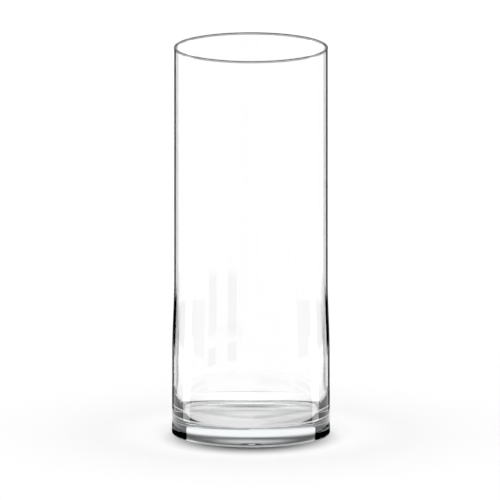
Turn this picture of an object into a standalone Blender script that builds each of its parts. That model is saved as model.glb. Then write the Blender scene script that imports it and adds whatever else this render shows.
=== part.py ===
"""Clear glass cylinder vase, turned about +Z as one blown glass body.

Metres, +Z up. The origin is the middle of the foot, on the surface that the vase stands on.
The body is one piece of glass: a thin straight upper wall that ends in a fire-polished bead, a
lower wall that thickens as it swells slightly outwards, a long soft heel inside, and a thick
floor over a narrow foot ring and a shallow punt.
"""

from math import acos, cos, degrees, pi, radians, sin, sqrt

import bpy

# Whole object
HEIGHT = 0.250
MOUTH_RADIUS = 0.0489
FOOT_RADIUS = 0.0502
MOUTH_WALL = 0.0014
FOOT_WALL = 0.0020

# The outside swells and the wall thickens between these heights
SWELL_TOP = 0.0985
SWELL_FOOT = 0.0510

# Fire-polished bead on the wall's top edge, and the short length of wall left sharp below it
LIP_RADIUS = 0.0008
LIP_MARGIN = 0.0002

# Floor, and the heel between floor and bore: |x / width|^power + |z / height|^power = 1
FLOOR_HEIGHT = 0.0119
FLOOR_DISH = 0.0009
HEEL_WIDTH = 0.0040
HEEL_HEIGHT = 0.0185
HEEL_POWER = 1.65

# Foot
FOOT_EDGE_RADIUS = 0.0012
FOOT_RING_WIDTH = 0.0016
PUNT_DEPTH = 0.0006

# Fineness of the turned surface
SEGMENTS = 72
LIP_STEPS = 8
SWELL_STEPS = 8
HEEL_STEPS = 9
EDGE_STEPS = 4
DISH_STEPS = 4
PUNT_STEPS = 6
MERGE_DISTANCE = 0.00001

# Soda-lime glass, with the faint cool green of its iron
GLASS_COLOUR = (0.93, 0.97, 0.96, 1.0)
GLASS_ROUGHNESS = 0.02
GLASS_IOR = 1.52

# The bead's round meets the wall's two faces at these heights
BEAD_CENTRE_Z = HEIGHT - LIP_RADIUS
BEAD_FOOT_Z = BEAD_CENTRE_Z - sqrt(LIP_RADIUS ** 2 - (MOUTH_WALL / 2) ** 2)
WALL_TOP_Z = BEAD_FOOT_Z - LIP_MARGIN


def clear_scene():
    """Remove every object that the scene holds."""
    for obj in list(bpy.data.objects):
        bpy.data.objects.remove(obj, do_unlink=True)


def ease(t):
    """Smooth step from 0 at t = 0 to 1 at t = 1, level at both ends."""
    t = min(max(t, 0.0), 1.0)
    return t * t * (3 - 2 * t)


def fractions(steps):
    """0 to 1 in equal steps, both ends included."""
    return [step / steps for step in range(steps + 1)]


def between(start, end, steps):
    """Values from start to end in equal steps, both included."""
    return [start + (end - start) * t for t in fractions(steps)]


def arc(centre_r, centre_z, radius, start, end, steps):
    """Points (r, z) on a circle, from the angle start to the angle end, in degrees."""
    angles = [radians(angle) for angle in between(start, end, steps)]
    return [(centre_r + radius * cos(a), centre_z + radius * sin(a)) for a in angles]


def swell(z):
    """How far the lower wall's swell has come at height z, from 0 to 1."""
    return ease((SWELL_TOP - z) / (SWELL_TOP - SWELL_FOOT))


def outside_radius(z):
    """Radius of the outer wall at height z."""
    return MOUTH_RADIUS + (FOOT_RADIUS - MOUTH_RADIUS) * swell(z)


def inside_radius(z):
    """Radius of the bore at height z, under a wall that thickens over the swell."""
    return outside_radius(z) - (MOUTH_WALL + (FOOT_WALL - MOUTH_WALL) * swell(z))


def floor_and_heel():
    """The dished floor, then the heel's quarter of a superellipse up to the bore."""
    floor_edge = FOOT_RADIUS - FOOT_WALL - HEEL_WIDTH
    points = []
    for t in fractions(DISH_STEPS)[:-1]:
        points.append((floor_edge * t, FLOOR_HEIGHT - FLOOR_DISH * (1 - ease(t))))
    bend = 2 / HEEL_POWER
    heel_top = FLOOR_HEIGHT + HEEL_HEIGHT
    for t in fractions(HEEL_STEPS):
        angle = t * pi / 2
        out = HEEL_WIDTH * sin(angle) ** bend
        drop = HEEL_HEIGHT * max(cos(angle), 0.0) ** bend
        points.append((floor_edge + out, heel_top - drop))
    return points


def bore():
    """The inside wall from the foot of the swell up to just under the bead."""
    heights = between(SWELL_FOOT, SWELL_TOP, SWELL_STEPS) + [WALL_TOP_Z]
    return [(inside_radius(z), z) for z in heights]


def lip():
    """The round bead over the wall's top edge, from the bore to the outside."""
    half_wall = MOUTH_WALL / 2
    tuck = degrees(acos(half_wall / LIP_RADIUS))
    centre_r = MOUTH_RADIUS - half_wall
    return arc(centre_r, BEAD_CENTRE_Z, LIP_RADIUS, 180 + tuck, -tuck, LIP_STEPS)


def outside_wall():
    """The outer wall from just under the bead, over the swell, down to the foot's edge."""
    heights = [WALL_TOP_Z] + between(SWELL_TOP, SWELL_FOOT, SWELL_STEPS)
    return [(outside_radius(z), z) for z in heights]


def foot():
    """Rounded edge, flat foot ring, and the shallow punt up to the axis."""
    edge_r = FOOT_RADIUS - FOOT_EDGE_RADIUS
    points = arc(edge_r, FOOT_EDGE_RADIUS, FOOT_EDGE_RADIUS, 0, -90, EDGE_STEPS)
    punt_radius = edge_r - FOOT_RING_WIDTH
    for t in fractions(PUNT_STEPS):
        points.append((punt_radius * (1 - t), PUNT_DEPTH * ease(t)))
    return points


def vase_profile():
    """From the floor's middle, up the inside, over the lip and down the outside to the axis."""
    return floor_and_heel() + bore() + lip() + outside_wall() + foot()


def glass_material():
    """Clear glass."""
    material = bpy.data.materials.new("clear_glass")
    material.use_nodes = True
    shader = material.node_tree.nodes["Principled BSDF"]
    shader.inputs["Base Color"].default_value = GLASS_COLOUR
    shader.inputs["Metallic"].default_value = 0.0
    shader.inputs["Roughness"].default_value = GLASS_ROUGHNESS
    shader.inputs["IOR"].default_value = GLASS_IOR
    shader.inputs["Transmission Weight"].default_value = 1.0
    return material


def turned(name, profile, collection, material):
    """A solid of revolution about Z, as an outline with a Screw modifier."""
    mesh = bpy.data.meshes.new(name)
    edges = [(i, i + 1) for i in range(len(profile) - 1)]
    mesh.from_pydata([(r, 0.0, z) for r, z in profile], edges, [])
    mesh.materials.append(material)
    obj = bpy.data.objects.new(name, mesh)
    collection.objects.link(obj)
    screw = obj.modifiers.new("Turn", "SCREW")
    screw.axis = "Z"
    screw.angle = 2 * pi
    screw.steps = SEGMENTS
    screw.render_steps = SEGMENTS
    screw.use_merge_vertices = True
    screw.merge_threshold = MERGE_DISTANCE
    screw.use_smooth_shade = True
    return obj


def main():
    clear_scene()
    collection = bpy.data.collections.new("glass cylinder vase")
    bpy.context.scene.collection.children.link(collection)
    turned("glass_vase", vase_profile(), collection, glass_material())


main()
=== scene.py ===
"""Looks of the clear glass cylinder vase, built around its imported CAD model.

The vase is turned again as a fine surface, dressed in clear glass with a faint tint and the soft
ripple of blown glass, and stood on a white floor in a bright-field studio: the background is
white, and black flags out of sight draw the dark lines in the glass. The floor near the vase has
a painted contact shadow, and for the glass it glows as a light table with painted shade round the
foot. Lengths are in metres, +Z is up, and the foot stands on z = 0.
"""

import logging
import math
from dataclasses import dataclass
from enum import Enum
from typing import Union

import bpy
import numpy as np
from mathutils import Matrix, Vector

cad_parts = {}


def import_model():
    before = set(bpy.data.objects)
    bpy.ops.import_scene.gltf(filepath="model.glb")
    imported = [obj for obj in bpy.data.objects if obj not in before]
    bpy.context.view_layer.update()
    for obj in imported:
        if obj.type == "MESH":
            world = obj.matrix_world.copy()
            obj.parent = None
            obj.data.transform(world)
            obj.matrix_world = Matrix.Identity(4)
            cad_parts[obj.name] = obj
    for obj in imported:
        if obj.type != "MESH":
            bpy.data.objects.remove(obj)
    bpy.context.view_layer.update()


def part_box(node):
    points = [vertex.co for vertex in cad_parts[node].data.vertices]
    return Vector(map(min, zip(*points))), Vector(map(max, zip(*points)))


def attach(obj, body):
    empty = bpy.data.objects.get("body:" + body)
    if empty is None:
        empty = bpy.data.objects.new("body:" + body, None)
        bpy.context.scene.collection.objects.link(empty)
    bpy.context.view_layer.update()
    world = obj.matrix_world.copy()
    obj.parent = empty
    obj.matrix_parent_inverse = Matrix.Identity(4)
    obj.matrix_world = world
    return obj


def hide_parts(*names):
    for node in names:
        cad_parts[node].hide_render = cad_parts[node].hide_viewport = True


LOG = logging.getLogger("glass_vase")
VASE_NODE = "glass_vase"
ROOT_BODY = "root"
PLAIN_WHITE = (1.0, 1.0, 1.0, 1.0)
TURN = 2.0 * math.pi

Socket = bpy.types.NodeSocket
Value = Union[float, Socket]


def ease(t: np.ndarray) -> np.ndarray:
    """Smooth step: 3t^2 - 2t^3 between 0 and 1, level at both ends.

    Args:
        t: Positions along the step.

    Returns:
        The step's height at each position.
    """
    t = np.clip(t, 0.0, 1.0)
    return t * t * (3.0 - 2.0 * t)


def arc(centre: tuple[float, float], radius: float, start: float, end: float,
        steps: int) -> np.ndarray:
    """Points on a circle: centre + radius (cos a, sin a), for a from start to end.

    Args:
        centre: The circle's centre (r, z).
        radius: Its radius.
        start: First angle, in degrees.
        end: Last angle, in degrees.
        steps: How many equal steps the arc takes.

    Returns:
        An array of (r, z) rows, both ends included.
    """
    angle = np.radians(np.linspace(start, end, steps + 1))
    return np.column_stack((centre[0] + radius * np.cos(angle), centre[1] + radius * np.sin(angle)))


class Sketch:
    """A node tree that is written as formulas."""

    def __init__(self, tree: bpy.types.NodeTree, clear: bool = True) -> None:
        """Start with an empty tree, or add to the one there.

        Args:
            tree: The tree to write in.
            clear: Whether the nodes in it go first.
        """
        self.tree = tree
        if clear:
            tree.nodes.clear()

    def node(self, kind: str, **settings: object) -> bpy.types.Node:
        """Add a node and set its properties.

        Args:
            kind: The node's type.
            settings: Its properties, by name.

        Returns:
            The node.
        """
        node = self.tree.nodes.new(kind)
        for name, value in settings.items():
            setattr(node, name, value)
        return node

    def feed(self, socket: Socket, value: object) -> None:
        """Link a socket into an input, or set the input to a plain value.

        Args:
            socket: The input.
            value: The socket or the value that it gets.
        """
        if isinstance(value, bpy.types.NodeSocket):
            self.tree.links.new(value, socket)
        else:
            socket.default_value = value

    def calc(self, operation: str, *values: Value) -> Socket:
        """One step of arithmetic.

        Args:
            operation: The math node's operation.
            values: Its numbers or sockets, in order.

        Returns:
            The result.
        """
        node = self.node("ShaderNodeMath", operation=operation)
        for socket, value in zip(node.inputs, values):
            self.feed(socket, value)
        return node.outputs[0]

    def step(self, value: Value, start: float, end: float) -> Socket:
        """A smooth step that is 0 where value is start and 1 where it is end.

        Args:
            value: What the step follows.
            start: Where it is 0, above or below end.
            end: Where it is 1.

        Returns:
            The step's height.
        """
        node = self.node("ShaderNodeMapRange", interpolation_type="SMOOTHSTEP", clamp=True)
        self.feed(node.inputs["Value"], value)
        if start < end:
            bounds = (start, end, 0.0, 1.0)
        else:
            bounds = (end, start, 1.0, 0.0)
        for name, bound in zip(("From Min", "From Max", "To Min", "To Max"), bounds):
            node.inputs[name].default_value = bound
        return node.outputs["Result"]

    def split(self, vector: Socket) -> bpy.types.NodeOutputs:
        """X, Y and Z of a vector.

        Args:
            vector: The vector.

        Returns:
            Its parts, by name.
        """
        node = self.node("ShaderNodeSeparateXYZ")
        self.feed(node.inputs[0], vector)
        return node.outputs

    def length(self, vector: Socket) -> Socket:
        """Length of a vector.

        Args:
            vector: The vector.

        Returns:
            Its length.
        """
        node = self.node("ShaderNodeVectorMath", operation="LENGTH")
        self.feed(node.inputs[0], vector)
        return node.outputs["Value"]

    def bearing(self, parts: bpy.types.NodeOutputs) -> Socket:
        """Compass direction in degrees, from +Y towards +X: arctan2(x, y).

        Args:
            parts: X and Y of the direction or place.

        Returns:
            The bearing, from -180 to 180.
        """
        return self.calc("DEGREES", self.calc("ARCTAN2", parts["X"], parts["Y"]))


@dataclass(frozen=True)
class ClearGlass:
    """Polished soda-lime glass.

    Attributes:
        colour: Tint of the surface.
        ior: Refractive index.
        roughness: Blur of the polished surface.
        body_tint: Colour that long paths through the glass take on.
        body_density: How fast they do so, per metre.
        ripple_size: Waves per metre in the surface.
        ripple_stretch: How much longer the waves are along the axis than across it.
        ripple_detail: How many finer waves ride on them.
        ripple_depth: Height of the waves, in metres.
    """

    colour: tuple[float, float, float] = (1.0, 1.0, 1.0)
    ior: float = 1.52
    roughness: float = 0.0
    body_tint: tuple[float, float, float] = (0.80, 0.87, 0.89)
    body_density: float = 4.0
    ripple_size: float = 34.0
    ripple_stretch: float = 3.0
    ripple_detail: float = 1.0
    ripple_depth: float = 0.00003

    def ripple(self, sketch: Sketch) -> Socket:
        """The soft unevenness of blown glass: long low waves, as a bump.

        Args:
            sketch: The material's nodes.

        Returns:
            The normal that the shader uses.
        """
        where = sketch.node("ShaderNodeTexCoord").outputs["Object"]
        stretch = sketch.node("ShaderNodeMapping")
        sketch.feed(stretch.inputs["Vector"], where)
        stretch.inputs["Scale"].default_value = (1.0, 1.0, 1.0 / self.ripple_stretch)
        waves = sketch.node("ShaderNodeTexNoise")
        sketch.feed(waves.inputs["Vector"], stretch.outputs["Vector"])
        waves.inputs["Scale"].default_value = self.ripple_size
        waves.inputs["Detail"].default_value = self.ripple_detail
        bump = sketch.node("ShaderNodeBump")
        bump.inputs["Distance"].default_value = self.ripple_depth
        sketch.feed(bump.inputs["Height"], waves.outputs["Fac"])
        return bump.outputs["Normal"]

    def material(self) -> bpy.types.Material:
        """Clear surface, rippled, over a body that takes a little light out of long paths.

        Returns:
            The material.
        """
        material = bpy.data.materials.new("clear_glass")
        material.use_nodes = True
        sketch = Sketch(material.node_tree)
        shader = sketch.node("ShaderNodeBsdfPrincipled")
        shader.inputs["Base Color"].default_value = (*self.colour, 1.0)
        shader.inputs["Roughness"].default_value = self.roughness
        shader.inputs["IOR"].default_value = self.ior
        shader.inputs["Transmission Weight"].default_value = 1.0
        sketch.feed(shader.inputs["Normal"], self.ripple(sketch))
        body = sketch.node("ShaderNodeVolumeAbsorption")
        body.inputs["Color"].default_value = (*self.body_tint, 1.0)
        body.inputs["Density"].default_value = self.body_density
        output = sketch.node("ShaderNodeOutputMaterial")
        sketch.feed(output.inputs["Surface"], shader.outputs["BSDF"])
        sketch.feed(output.inputs["Volume"], body.outputs["Volume"])
        return material


@dataclass(frozen=True)
class MattPaint:
    """Matt white paint.

    Attributes:
        lightness: How much of the light it gives back.
        roughness: Blur of its surface.
        gloss: Strength of its reflections.
    """

    lightness: float = 0.8
    roughness: float = 1.0
    gloss: float = 0.0

    def material(self, name: str) -> bpy.types.Material:
        """An even coat of the paint.

        Args:
            name: The material's name.

        Returns:
            The material.
        """
        material = bpy.data.materials.new(name)
        material.use_nodes = True
        shader = material.node_tree.nodes["Principled BSDF"]
        grey = self.lightness
        shader.inputs["Base Color"].default_value = (grey, grey, grey, 1.0)
        shader.inputs["Roughness"].default_value = self.roughness
        shader.inputs["Specular IOR Level"].default_value = self.gloss
        return material


@dataclass(frozen=True)
class Fineness:
    """Steps that each stretch of the vase's outline takes, and the sides of the turned surface."""

    floor: int = 24
    heel: int = 40
    bore: int = 89
    lip: int = 28
    wall: int = 99
    edge: int = 16
    punt: int = 23
    sides: int = 256


@dataclass
class VaseBody:
    """The vase, one piece of glass turned about +Z.

    Attributes:
        height: Foot to lip.
        foot_radius: Outside of the lower wall.
        mouth_radius: Outside of the upper wall.
        mouth_wall: Thickness of the upper wall.
        foot_wall: Thickness of the lower wall.
        swell_top: Height where the outside starts to swell and the wall to thicken.
        swell_foot: Height where both are full.
        lip_radius: Round of the melted bead on the wall's top edge.
        lip_margin: Length of wall left sharp below the bead.
        floor_height: Thickness of the glass floor at its edge.
        floor_dish: How far the floor's middle lies below its edge.
        heel_width: Width of the soft curve between floor and bore.
        heel_height: Height of that curve.
        heel_power: Its power: 2 is a quarter of an ellipse, and less is flatter.
        foot_edge: Round between wall and foot.
        ring_width: Width of the flat foot ring.
        punt_depth: Height of the hollow under the foot.
        oval: How far the foot is out of round, on the radius.
        oval_phase: Where the oval lies, in radians.
        fineness: Steps along the outline and around it.
    """

    height: float
    foot_radius: float
    mouth_radius: float = 0.0489
    mouth_wall: float = 0.0014
    foot_wall: float = 0.0020
    swell_top: float = 0.0985
    swell_foot: float = 0.051
    lip_radius: float = 0.0008
    lip_margin: float = 0.0002
    floor_height: float = 0.0119
    floor_dish: float = 0.0009
    heel_width: float = 0.0040
    heel_height: float = 0.0185
    heel_power: float = 1.65
    foot_edge: float = 0.0012
    ring_width: float = 0.0016
    punt_depth: float = 0.0006
    oval: float = 0.00008
    oval_phase: float = 1.0
    fineness: Fineness = Fineness()

    def swell(self, z: np.ndarray) -> np.ndarray:
        """How far the lower wall's swell has come at height z, from 0 to 1."""
        return ease((self.swell_top - z) / (self.swell_top - self.swell_foot))

    def outside_radius(self, z: np.ndarray) -> np.ndarray:
        """Outer radius at height z: the mouth's, plus an eased swell down to the foot's."""
        return self.mouth_radius + (self.foot_radius - self.mouth_radius) * self.swell(z)

    def inside_radius(self, z: np.ndarray) -> np.ndarray:
        """Bore at height z: the outer radius less a wall that thickens over the swell."""
        wall = self.mouth_wall + (self.foot_wall - self.mouth_wall) * self.swell(z)
        return self.outside_radius(z) - wall

    def floor_and_heel(self) -> np.ndarray:
        """The dished floor, then the heel up to the bore.

        The floor is an eased step: z = height - dish (1 - ease(t)) at r = edge t. The heel is a
        quarter of a superellipse: |r / width|^power + |z / height|^power = 1.

        Returns:
            An array of (r, z) rows, from the axis outwards.
        """
        edge = self.foot_radius - self.foot_wall - self.heel_width
        t = np.linspace(0.0, 1.0, self.fineness.floor, endpoint=False)
        dish = self.floor_dish * (1.0 - ease(t))
        floor = np.column_stack((edge * t, self.floor_height - dish))
        angle = np.radians(np.linspace(-90.0, 0.0, self.fineness.heel + 1))
        bend = 2.0 / self.heel_power
        out = self.heel_width * np.cos(angle) ** bend
        drop = self.heel_height * np.abs(np.sin(angle)) ** bend
        heel = np.column_stack((edge + out, self.floor_height + self.heel_height - drop))
        return np.concatenate((floor, heel))

    def walls_and_lip(self) -> np.ndarray:
        """The bore up to the bead, the bead's arc, and the outer wall down to the foot's edge.

        Returns:
            An array of (r, z) rows.
        """
        half_wall = self.mouth_wall / 2.0
        bead_z = self.height - self.lip_radius
        tuck = math.degrees(math.acos(half_wall / self.lip_radius))
        bead_foot = bead_z - math.sqrt(self.lip_radius ** 2 - half_wall ** 2)
        wall_top = bead_foot - self.lip_margin
        heel_top = self.floor_height + self.heel_height
        z = np.linspace(heel_top, wall_top, self.fineness.bore + 1)[1:]
        bore = np.column_stack((self.inside_radius(z), z))
        bead_centre = (self.mouth_radius - half_wall, bead_z)
        lip = arc(bead_centre, self.lip_radius, 180.0 + tuck, -tuck, self.fineness.lip)
        z = np.linspace(wall_top, self.foot_edge, self.fineness.wall + 1)[:-1]
        wall = np.column_stack((self.outside_radius(z), z))
        return np.concatenate((bore, lip, wall))

    def foot(self) -> np.ndarray:
        """The rounded edge, the flat ring, and the punt: an eased step up to the axis.

        Returns:
            An array of (r, z) rows, from the outside inwards.
        """
        edge_r = self.foot_radius - self.foot_edge
        edge = arc((edge_r, self.foot_edge), self.foot_edge, 0.0, -90.0, self.fineness.edge)
        t = np.linspace(0.0, 1.0, self.fineness.punt + 1)
        punt_r = edge_r - self.ring_width
        punt = np.column_stack((punt_r * (1.0 - t), self.punt_depth * ease(t)))
        return np.concatenate((edge, punt))

    def mesh(self) -> bpy.types.Mesh:
        """Turn the outline about Z: (r cos a, r sin a, z), with one point at each pole.

        The radius is a little oval: r (1 + oval / foot radius cos(2a + phase)).

        Returns:
            A closed mesh whose faces point outwards.
        """
        profile = np.concatenate((self.floor_and_heel(), self.walls_and_lip(), self.foot()))
        ring = profile[1:-1]
        sides = self.fineness.sides
        angle = np.linspace(0.0, TURN, sides, endpoint=False)
        oval = 1.0 + self.oval / self.foot_radius * np.cos(2.0 * angle + self.oval_phase)
        radius = ring[:, 0][:, None] * oval
        z = np.broadcast_to(ring[:, 1][:, None], radius.shape)
        turned = np.stack((radius * np.cos(angle), radius * np.sin(angle), z), axis=-1)
        poles = np.array([[0.0, 0.0, profile[0, 1]], [0.0, 0.0, profile[-1, 1]]])
        points = np.concatenate((turned.reshape(-1, 3), poles))
        row = np.arange(len(ring) - 1)[:, None] * sides
        here = np.arange(sides)
        after = (here + 1) % sides
        walls = np.stack((row + sides + here, row + sides + after, row + after, row + here), axis=-1)
        last = (len(ring) - 1) * sides
        floor_pole = np.full(sides, len(points) - 2)
        foot_pole = np.full(sides, len(points) - 1)
        floor_fan = np.column_stack((here, after, floor_pole))
        foot_fan = np.column_stack((last + after, last + here, foot_pole))
        faces = walls.reshape(-1, 4).tolist() + floor_fan.tolist() + foot_fan.tolist()
        mesh = bpy.data.meshes.new("vase")
        mesh.from_pydata(points, [], faces)
        mesh.shade_smooth()
        mesh.update()
        return mesh

    def build(self, glass: ClearGlass) -> bpy.types.Object:
        """Make the vase, dress it and fix it to the frame.

        Args:
            glass: What it is made of.

        Returns:
            The vase.
        """
        mesh = self.mesh()
        mesh.materials.append(glass.material())
        vase = bpy.data.objects.new("vase", mesh)
        bpy.context.scene.collection.objects.link(vase)
        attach(vase, ROOT_BODY)
        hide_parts(VASE_NODE)
        return vase


class Card(Enum):
    """What stands around the vase, out of sight, for the glass to show.

    A card's brightness is 1 plus its value, where the plain surround's is 1.
    """

    BLACK = -1.0
    GREY = -0.88
    WHITE = 3.4


@dataclass(frozen=True)
class CardPair:
    """Two upright cards that mirror each other about a bearing, far enough off to be angles only.

    Attributes:
        kind: Black flag, grey card or white reflector.
        bearing: Compass direction between the two, in degrees from straight behind the vase.
        near: Where each starts, in degrees off that bearing; under 0 the two are one card.
        far: Where each ends.
        low: Lower edge, in degrees above the level.
        high: Upper edge.
        soft: Width over which an edge fades, in degrees.
    """

    kind: Card
    bearing: float
    near: float
    far: float
    low: float
    high: float
    soft: float = 2.0

    def cover(self, sketch: Sketch, bearing: Socket, rise: Socket) -> Socket:
        """How much of a direction the two cards fill.

        Args:
            sketch: The world's nodes.
            bearing: Compass direction, in degrees.
            rise: Degrees above the level.

        Returns:
            The share, from 0 to 1.
        """
        turned = sketch.calc("SUBTRACT", bearing, self.bearing)
        off = sketch.calc("ABSOLUTE", sketch.calc("WRAP", turned, 180.0, -180.0))
        across = sketch.calc("MULTIPLY", sketch.step(off, self.near - self.soft, self.near),
                             sketch.step(off, self.far + self.soft, self.far))
        up = sketch.calc("MULTIPLY", sketch.step(rise, self.low - self.soft, self.low),
                         sketch.step(rise, self.high + self.soft, self.high))
        return sketch.calc("MULTIPLY", across, up)


CARDS = (
    # From the front, a little raised: the dark lines along the walls
    CardPair(Card.BLACK, 0.0, 10.0, 23.0, -19.0, -8.0),
    CardPair(Card.BLACK, 0.0, 22.5, 29.0, -14.0, -11.3, 0.3),
    # Straight behind the vase: thin lines at the back of the glass floor and low on the base
    CardPair(Card.BLACK, 0.0, -1.0, 33.0, -22.0, -18.0, 0.4),
    CardPair(Card.BLACK, 0.0, -1.0, 33.0, -10.2, -4.9, 0.3),
    CardPair(Card.BLACK, 0.0, -1.0, 33.0, -2.2, 2.5, 0.3),
    CardPair(Card.BLACK, 0.0, -1.0, 33.0, 3.6, 6.6, 0.3),
    # The dark corners of the base, with gaps that keep the side view clear
    CardPair(Card.BLACK, 0.0, 45.0, 62.0, -9.3, 22.0, 0.5),
    CardPair(Card.BLACK, 0.0, 62.0, 107.0, -9.3, -4.9, 0.4),
    CardPair(Card.BLACK, 0.0, 62.0, 107.0, -1.8, 2.2, 0.3),
    CardPair(Card.BLACK, 0.0, 62.0, 107.0, 3.8, 22.0, 0.5),
    # The grey under the base's white band, and the light stripes inside the walls' lines
    CardPair(Card.GREY, 0.0, -1.0, 50.0, 12.7, 12.7, 3.2),
    CardPair(Card.WHITE, 0.0, 62.5, 78.5, -11.9, -10.1, 0.3),
    # Level, from the front and from the side
    CardPair(Card.BLACK, 0.0, 27.0, 45.0, -6.0, 0.0, 1.0),
    CardPair(Card.BLACK, -90.0, 27.0, 45.0, -6.0, 0.0, 1.0),
    CardPair(Card.BLACK, -90.0, 45.0, 77.0, -6.0, 4.6, 1.0),
    # Raised, from the back left
    CardPair(Card.BLACK, 135.0, 10.0, 23.0, -17.0, -13.0, 1.0),
    CardPair(Card.BLACK, 135.0, 46.5, 77.0, 11.0, 20.0, 1.0),
    # Raised, from the front right
    CardPair(Card.BLACK, -45.0, 10.0, 23.0, -27.0, -12.5, 1.0),
    CardPair(Card.BLACK, -45.0, 46.5, 77.0, 21.0, 30.0, 1.0),
)

# Below the horizon: a lit window for the raised view from the front right, and its shut part
WINDOW = CardPair(Card.WHITE, -45.0, -1.0, 80.0, -26.5, -23.5, 0.7)
SHUTTER = CardPair(Card.BLACK, 0.0, -1.0, 20.0, -29.0, -21.0, 1.0)


@dataclass(frozen=True)
class Studio:
    """White floor and white surround, with flags and reflectors that only the glass sees.

    Attributes:
        paint: What the floor is painted with.
        floor_radius: Reach of the floor.
        patch_radius: Reach of its near part, which the glass sees.
        disc_sides: Sides of each round part of the floor.
        shadow_shift: How far in front of the axis the contact shadow is centred.
        shadow_reach: Radii where the shadow starts and where it is full.
        shadow_depth: How much of the paint's lightness it takes.
        painted_lift: Painted light that makes the paint lighter close to the vase, evening out the
            shade there.
        painted_lift_start: Radius where that painted light is full; it ends at the patch's edge.
        shade_ring_inner: Radius where the black ring of painted shade round the foot starts, for the
            glass.
        shade_ring_outer: Radius where that ring of painted shade ends.
        shade_ring_soft: Width over which its edges fade.
        under_light: Brightness of the table inside the ring, for the glass.
        floor_light: Brightness of the table outside it.
        side_shade_reach: Radius that the black painted shade next to the vase reaches, for the
            glass.
        side_shade_soft: Width over which that painted shade ends.
        side_shade_start: Bearings off straight behind over which that painted shade comes in.
        side_shade_end: Bearings by which that painted shade has gone, and up to which it is full.
        eye_light: Brightness of the surround for the eye and the floor.
        horizon: Rises below which the glass sees black, and above which it sees white.
    """

    paint: MattPaint = MattPaint()
    floor_radius: float = 2.0
    patch_radius: float = 0.1025
    disc_sides: int = 128
    shadow_shift: float = 0.020
    shadow_reach: tuple[float, float] = (0.061, 0.024)
    shadow_depth: float = 0.97
    painted_lift: float = 0.16
    painted_lift_start: float = 0.052
    shade_ring_inner: float = 0.0498
    shade_ring_outer: float = 0.0577
    shade_ring_soft: float = 0.0004
    under_light: float = 0.74
    floor_light: float = 1.04
    side_shade_reach: float = 0.070
    side_shade_soft: float = 0.004
    side_shade_start: tuple[float, float] = (56.0, 64.0)
    side_shade_end: tuple[float, float] = (152.0, 144.0)
    eye_light: float = 1.3
    horizon: tuple[float, float] = (-21.5, -20.0)

    def shaded_paint(self, sketch: Sketch, where: Socket) -> Socket:
        """The paint as the eye sees it, with a painted contact shadow and painted light near the
        vase.

        Lightness is paint (1 - depth shadow) (1 + lift near), both smooth steps of the radius.

        Args:
            sketch: The floor's nodes.
            where: Place on the floor.

        Returns:
            Its lightness.
        """
        # Painted shadow: the contact shadow is painted into the paint's lightness, centred in front
        # of the axis
        shift = sketch.node("ShaderNodeVectorMath", operation="ADD")
        sketch.feed(shift.inputs[0], where)
        shift.inputs[1].default_value = (0.0, self.shadow_shift, 0.0)
        shadow = sketch.step(sketch.length(shift.outputs[0]), *self.shadow_reach)
        plain = self.paint.lightness
        shaded = sketch.calc("MULTIPLY_ADD", shadow, -self.shadow_depth * plain, plain)
        # Painted light: the paint is made lighter close to the vase
        near = sketch.step(sketch.length(where), self.patch_radius, self.painted_lift_start)
        return sketch.calc("MULTIPLY", shaded, sketch.calc("MULTIPLY_ADD", near, self.painted_lift, 1.0))

    def light_table(self, sketch: Sketch, where: Socket) -> Socket:
        """The floor as the glass sees it: a light table with a black ring of painted shade round the
        foot.

        It is dimmer inside the ring, and black with painted shade next to the vase.

        Args:
            sketch: The floor's nodes.
            where: Place on the floor.

        Returns:
            Its brightness.
        """
        radius = sketch.length(where)
        # Painted shade for the glass: a black ring round the foot, between the dimmer inside and the
        # rest
        under = sketch.step(radius, self.shade_ring_inner, self.shade_ring_inner - self.shade_ring_soft)
        beyond = sketch.step(radius, self.shade_ring_outer, self.shade_ring_outer + self.shade_ring_soft)
        # Painted shade for the glass: black next to the vase, off to both sides
        off = sketch.calc("ABSOLUTE", sketch.bearing(sketch.split(where)))
        beside_shade = sketch.calc("MULTIPLY", sketch.step(off, *self.side_shade_start),
                             sketch.step(off, *self.side_shade_end))
        close = sketch.step(radius, self.side_shade_reach + self.side_shade_soft, self.side_shade_reach)
        beside_shade = sketch.calc("MULTIPLY", beside_shade, close)
        beyond = sketch.calc("MULTIPLY", beyond, sketch.calc("SUBTRACT", 1.0, beside_shade))
        beyond = sketch.calc("MULTIPLY", beyond, self.floor_light)
        return sketch.calc("MULTIPLY_ADD", under, self.under_light, beyond)

    def light_near_floor(self, material: bpy.types.Material) -> None:
        """Give the near floor its two faces: paint for the eye, a light table for the glass.

        Args:
            material: The near floor's paint.
        """
        sketch = Sketch(material.node_tree, clear=False)
        shader = material.node_tree.nodes["Principled BSDF"]
        where = sketch.node("ShaderNodeTexCoord").outputs["Object"]
        ray = sketch.node("ShaderNodeLightPath").outputs
        plain = sketch.calc("MAXIMUM", ray["Is Camera Ray"], ray["Is Diffuse Ray"])
        lightness = sketch.calc("MULTIPLY", self.shaded_paint(sketch, where), plain)
        grey = sketch.node("ShaderNodeCombineColor")
        for socket in grey.inputs:
            sketch.feed(socket, lightness)
        sketch.feed(shader.inputs["Base Color"], grey.outputs[0])
        glow = sketch.calc("MULTIPLY", self.light_table(sketch, where),
                           sketch.calc("SUBTRACT", 1.0, plain))
        shader.inputs["Emission Color"].default_value = PLAIN_WHITE
        sketch.feed(shader.inputs["Emission Strength"], glow)

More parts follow.
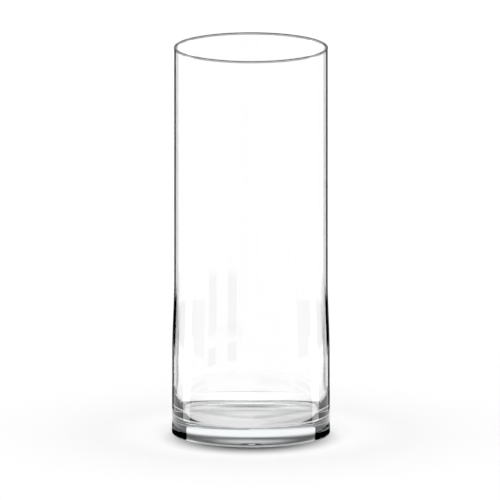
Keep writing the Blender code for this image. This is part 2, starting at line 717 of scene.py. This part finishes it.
    def disc(self, name: str, inner: float, outer: float) -> bpy.types.Object:
        """A flat ring on the ground: r (cos a, sin a) at the two radii, or a full disc.

        Args:
            name: The object's and its paint's name.
            inner: Inner radius; 0 makes a full disc.
            outer: Outer radius.

        Returns:
            The painted ring.
        """
        sides = self.disc_sides
        angle = np.linspace(0.0, TURN, sides, endpoint=False)
        circle = np.stack((np.cos(angle), np.sin(angle), np.zeros(sides)), axis=-1)
        here = np.arange(sides)
        after = (here + 1) % sides
        if inner > 0.0:
            points = np.concatenate((circle * inner, circle * outer))
            faces = np.column_stack((here, sides + here, sides + after, after)).tolist()
        else:
            points = circle * outer
            faces = [here.tolist()]
        mesh = bpy.data.meshes.new(name)
        mesh.from_pydata(points, [], faces)
        mesh.materials.append(self.paint.material(name))
        obj = bpy.data.objects.new(name, mesh)
        bpy.context.scene.collection.objects.link(obj)
        return obj

    def floor(self) -> None:
        """Lay the floor: a near patch that the glass sees, and the rest that it doesn't."""
        near = self.disc("floor_near", 0.0, self.patch_radius)
        self.light_near_floor(near.data.materials[0])
        far = self.disc("floor_far", self.patch_radius, self.floor_radius)
        far.visible_glossy = False
        far.visible_transmission = False

    def surround(self) -> None:
        """White all round for the eye and the floor; white with the cards in it for the glass."""
        world = bpy.data.worlds.new("studio")
        bpy.context.scene.world = world
        world.use_nodes = True
        sketch = Sketch(world.node_tree)
        parts = sketch.split(sketch.node("ShaderNodeTexCoord").outputs["Generated"])
        rise = sketch.calc("DEGREES", sketch.calc("ARCSINE", parts["Z"]))
        light = self.glass_sees(sketch, sketch.bearing(parts), rise)
        ray = sketch.node("ShaderNodeLightPath").outputs
        plain = sketch.calc("MAXIMUM", ray["Is Camera Ray"], ray["Diffuse Depth"])
        mix = sketch.node("ShaderNodeMix", data_type="FLOAT")
        sketch.feed(mix.inputs[0], sketch.calc("MINIMUM", plain, 1.0))
        sketch.feed(mix.inputs[2], light)
        sketch.feed(mix.inputs[3], self.eye_light)
        background = sketch.node("ShaderNodeBackground")
        background.inputs["Color"].default_value = PLAIN_WHITE
        sketch.feed(background.inputs["Strength"], mix.outputs[0])
        output = sketch.node("ShaderNodeOutputWorld")
        sketch.feed(output.inputs["Surface"], background.outputs[0])
        world.cycles.sampling_method = "NONE"

    def bare(self, sketch: Sketch, bearing: Socket, rise: Socket) -> Socket:
        """The surround without its cards: white above the horizon, black with a window below.

        Args:
            sketch: The world's nodes.
            bearing: Compass direction, in degrees.
            rise: Degrees above the level.

        Returns:
            Its brightness, from 0 to 1.
        """
        above = sketch.step(rise, *self.horizon)
        window = WINDOW.cover(sketch, bearing, rise)
        open_part = sketch.calc("SUBTRACT", 1.0, SHUTTER.cover(sketch, bearing, rise))
        return sketch.calc("MAXIMUM", above, sketch.calc("MULTIPLY", window, open_part))

    def glass_sees(self, sketch: Sketch, bearing: Socket, rise: Socket) -> Socket:
        """The surround with its cards: the bare one, times 1 + cover value for each pair.

        Args:
            sketch: The world's nodes.
            bearing: Compass direction, in degrees.
            rise: Degrees above the level.

        Returns:
            Its brightness, as the glass sees it.
        """
        light = self.bare(sketch, bearing, rise)
        for pair in CARDS:
            cover = pair.cover(sketch, bearing, rise)
            change = sketch.calc("MULTIPLY_ADD", cover, pair.kind.value, 1.0)
            light = sketch.calc("MULTIPLY", light, change)
        return light


@dataclass(frozen=True)
class StudioCamera:
    """A camera without perspective, as if very far off, that looks slightly down at the vase.

    Attributes:
        distance: From the point it aims at.
        pitch: How far it looks down, in degrees.
        aim_height: Height of the point it aims at.
        aim_side: How far that point is to the right of the axis.
        frame_width: Width that the frame covers.
    """

    distance: float = 2.0
    pitch: float = 10.95
    aim_height: float = 0.1183
    aim_side: float = -0.0006
    frame_width: float = 0.3179

    def place(self) -> None:
        """Add the camera and make it the scene's."""
        data = bpy.data.cameras.new("camera")
        data.type = "ORTHO"
        data.ortho_scale = self.frame_width
        camera = bpy.data.objects.new("camera", data)
        bpy.context.scene.collection.objects.link(camera)
        pitch = math.radians(self.pitch)
        back = Vector((0.0, -math.cos(pitch), math.sin(pitch)))
        camera.location = Vector((self.aim_side, 0.0, self.aim_height)) + back * self.distance
        camera.rotation_euler = back.to_track_quat("Z", "Y").to_euler()
        bpy.context.scene.camera = camera


def main() -> None:
    """Build the vase, the studio and the camera in order."""
    logging.basicConfig(level=logging.INFO, format="%(name)s: %(message)s")
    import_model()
    low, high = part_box(VASE_NODE)
    vase = VaseBody(height=high.z - low.z, foot_radius=(high.x - low.x) / 2.0).build(ClearGlass())
    LOG.info("%s: %d faces", vase.name, len(vase.data.polygons))
    studio = Studio()
    studio.floor()
    studio.surround()
    LOG.info("studio: floor laid, surround with %d pairs of cards", len(CARDS))
    StudioCamera().place()
    bpy.context.scene.view_settings.view_transform = "Standard"


if __name__ == "__main__":
    main()
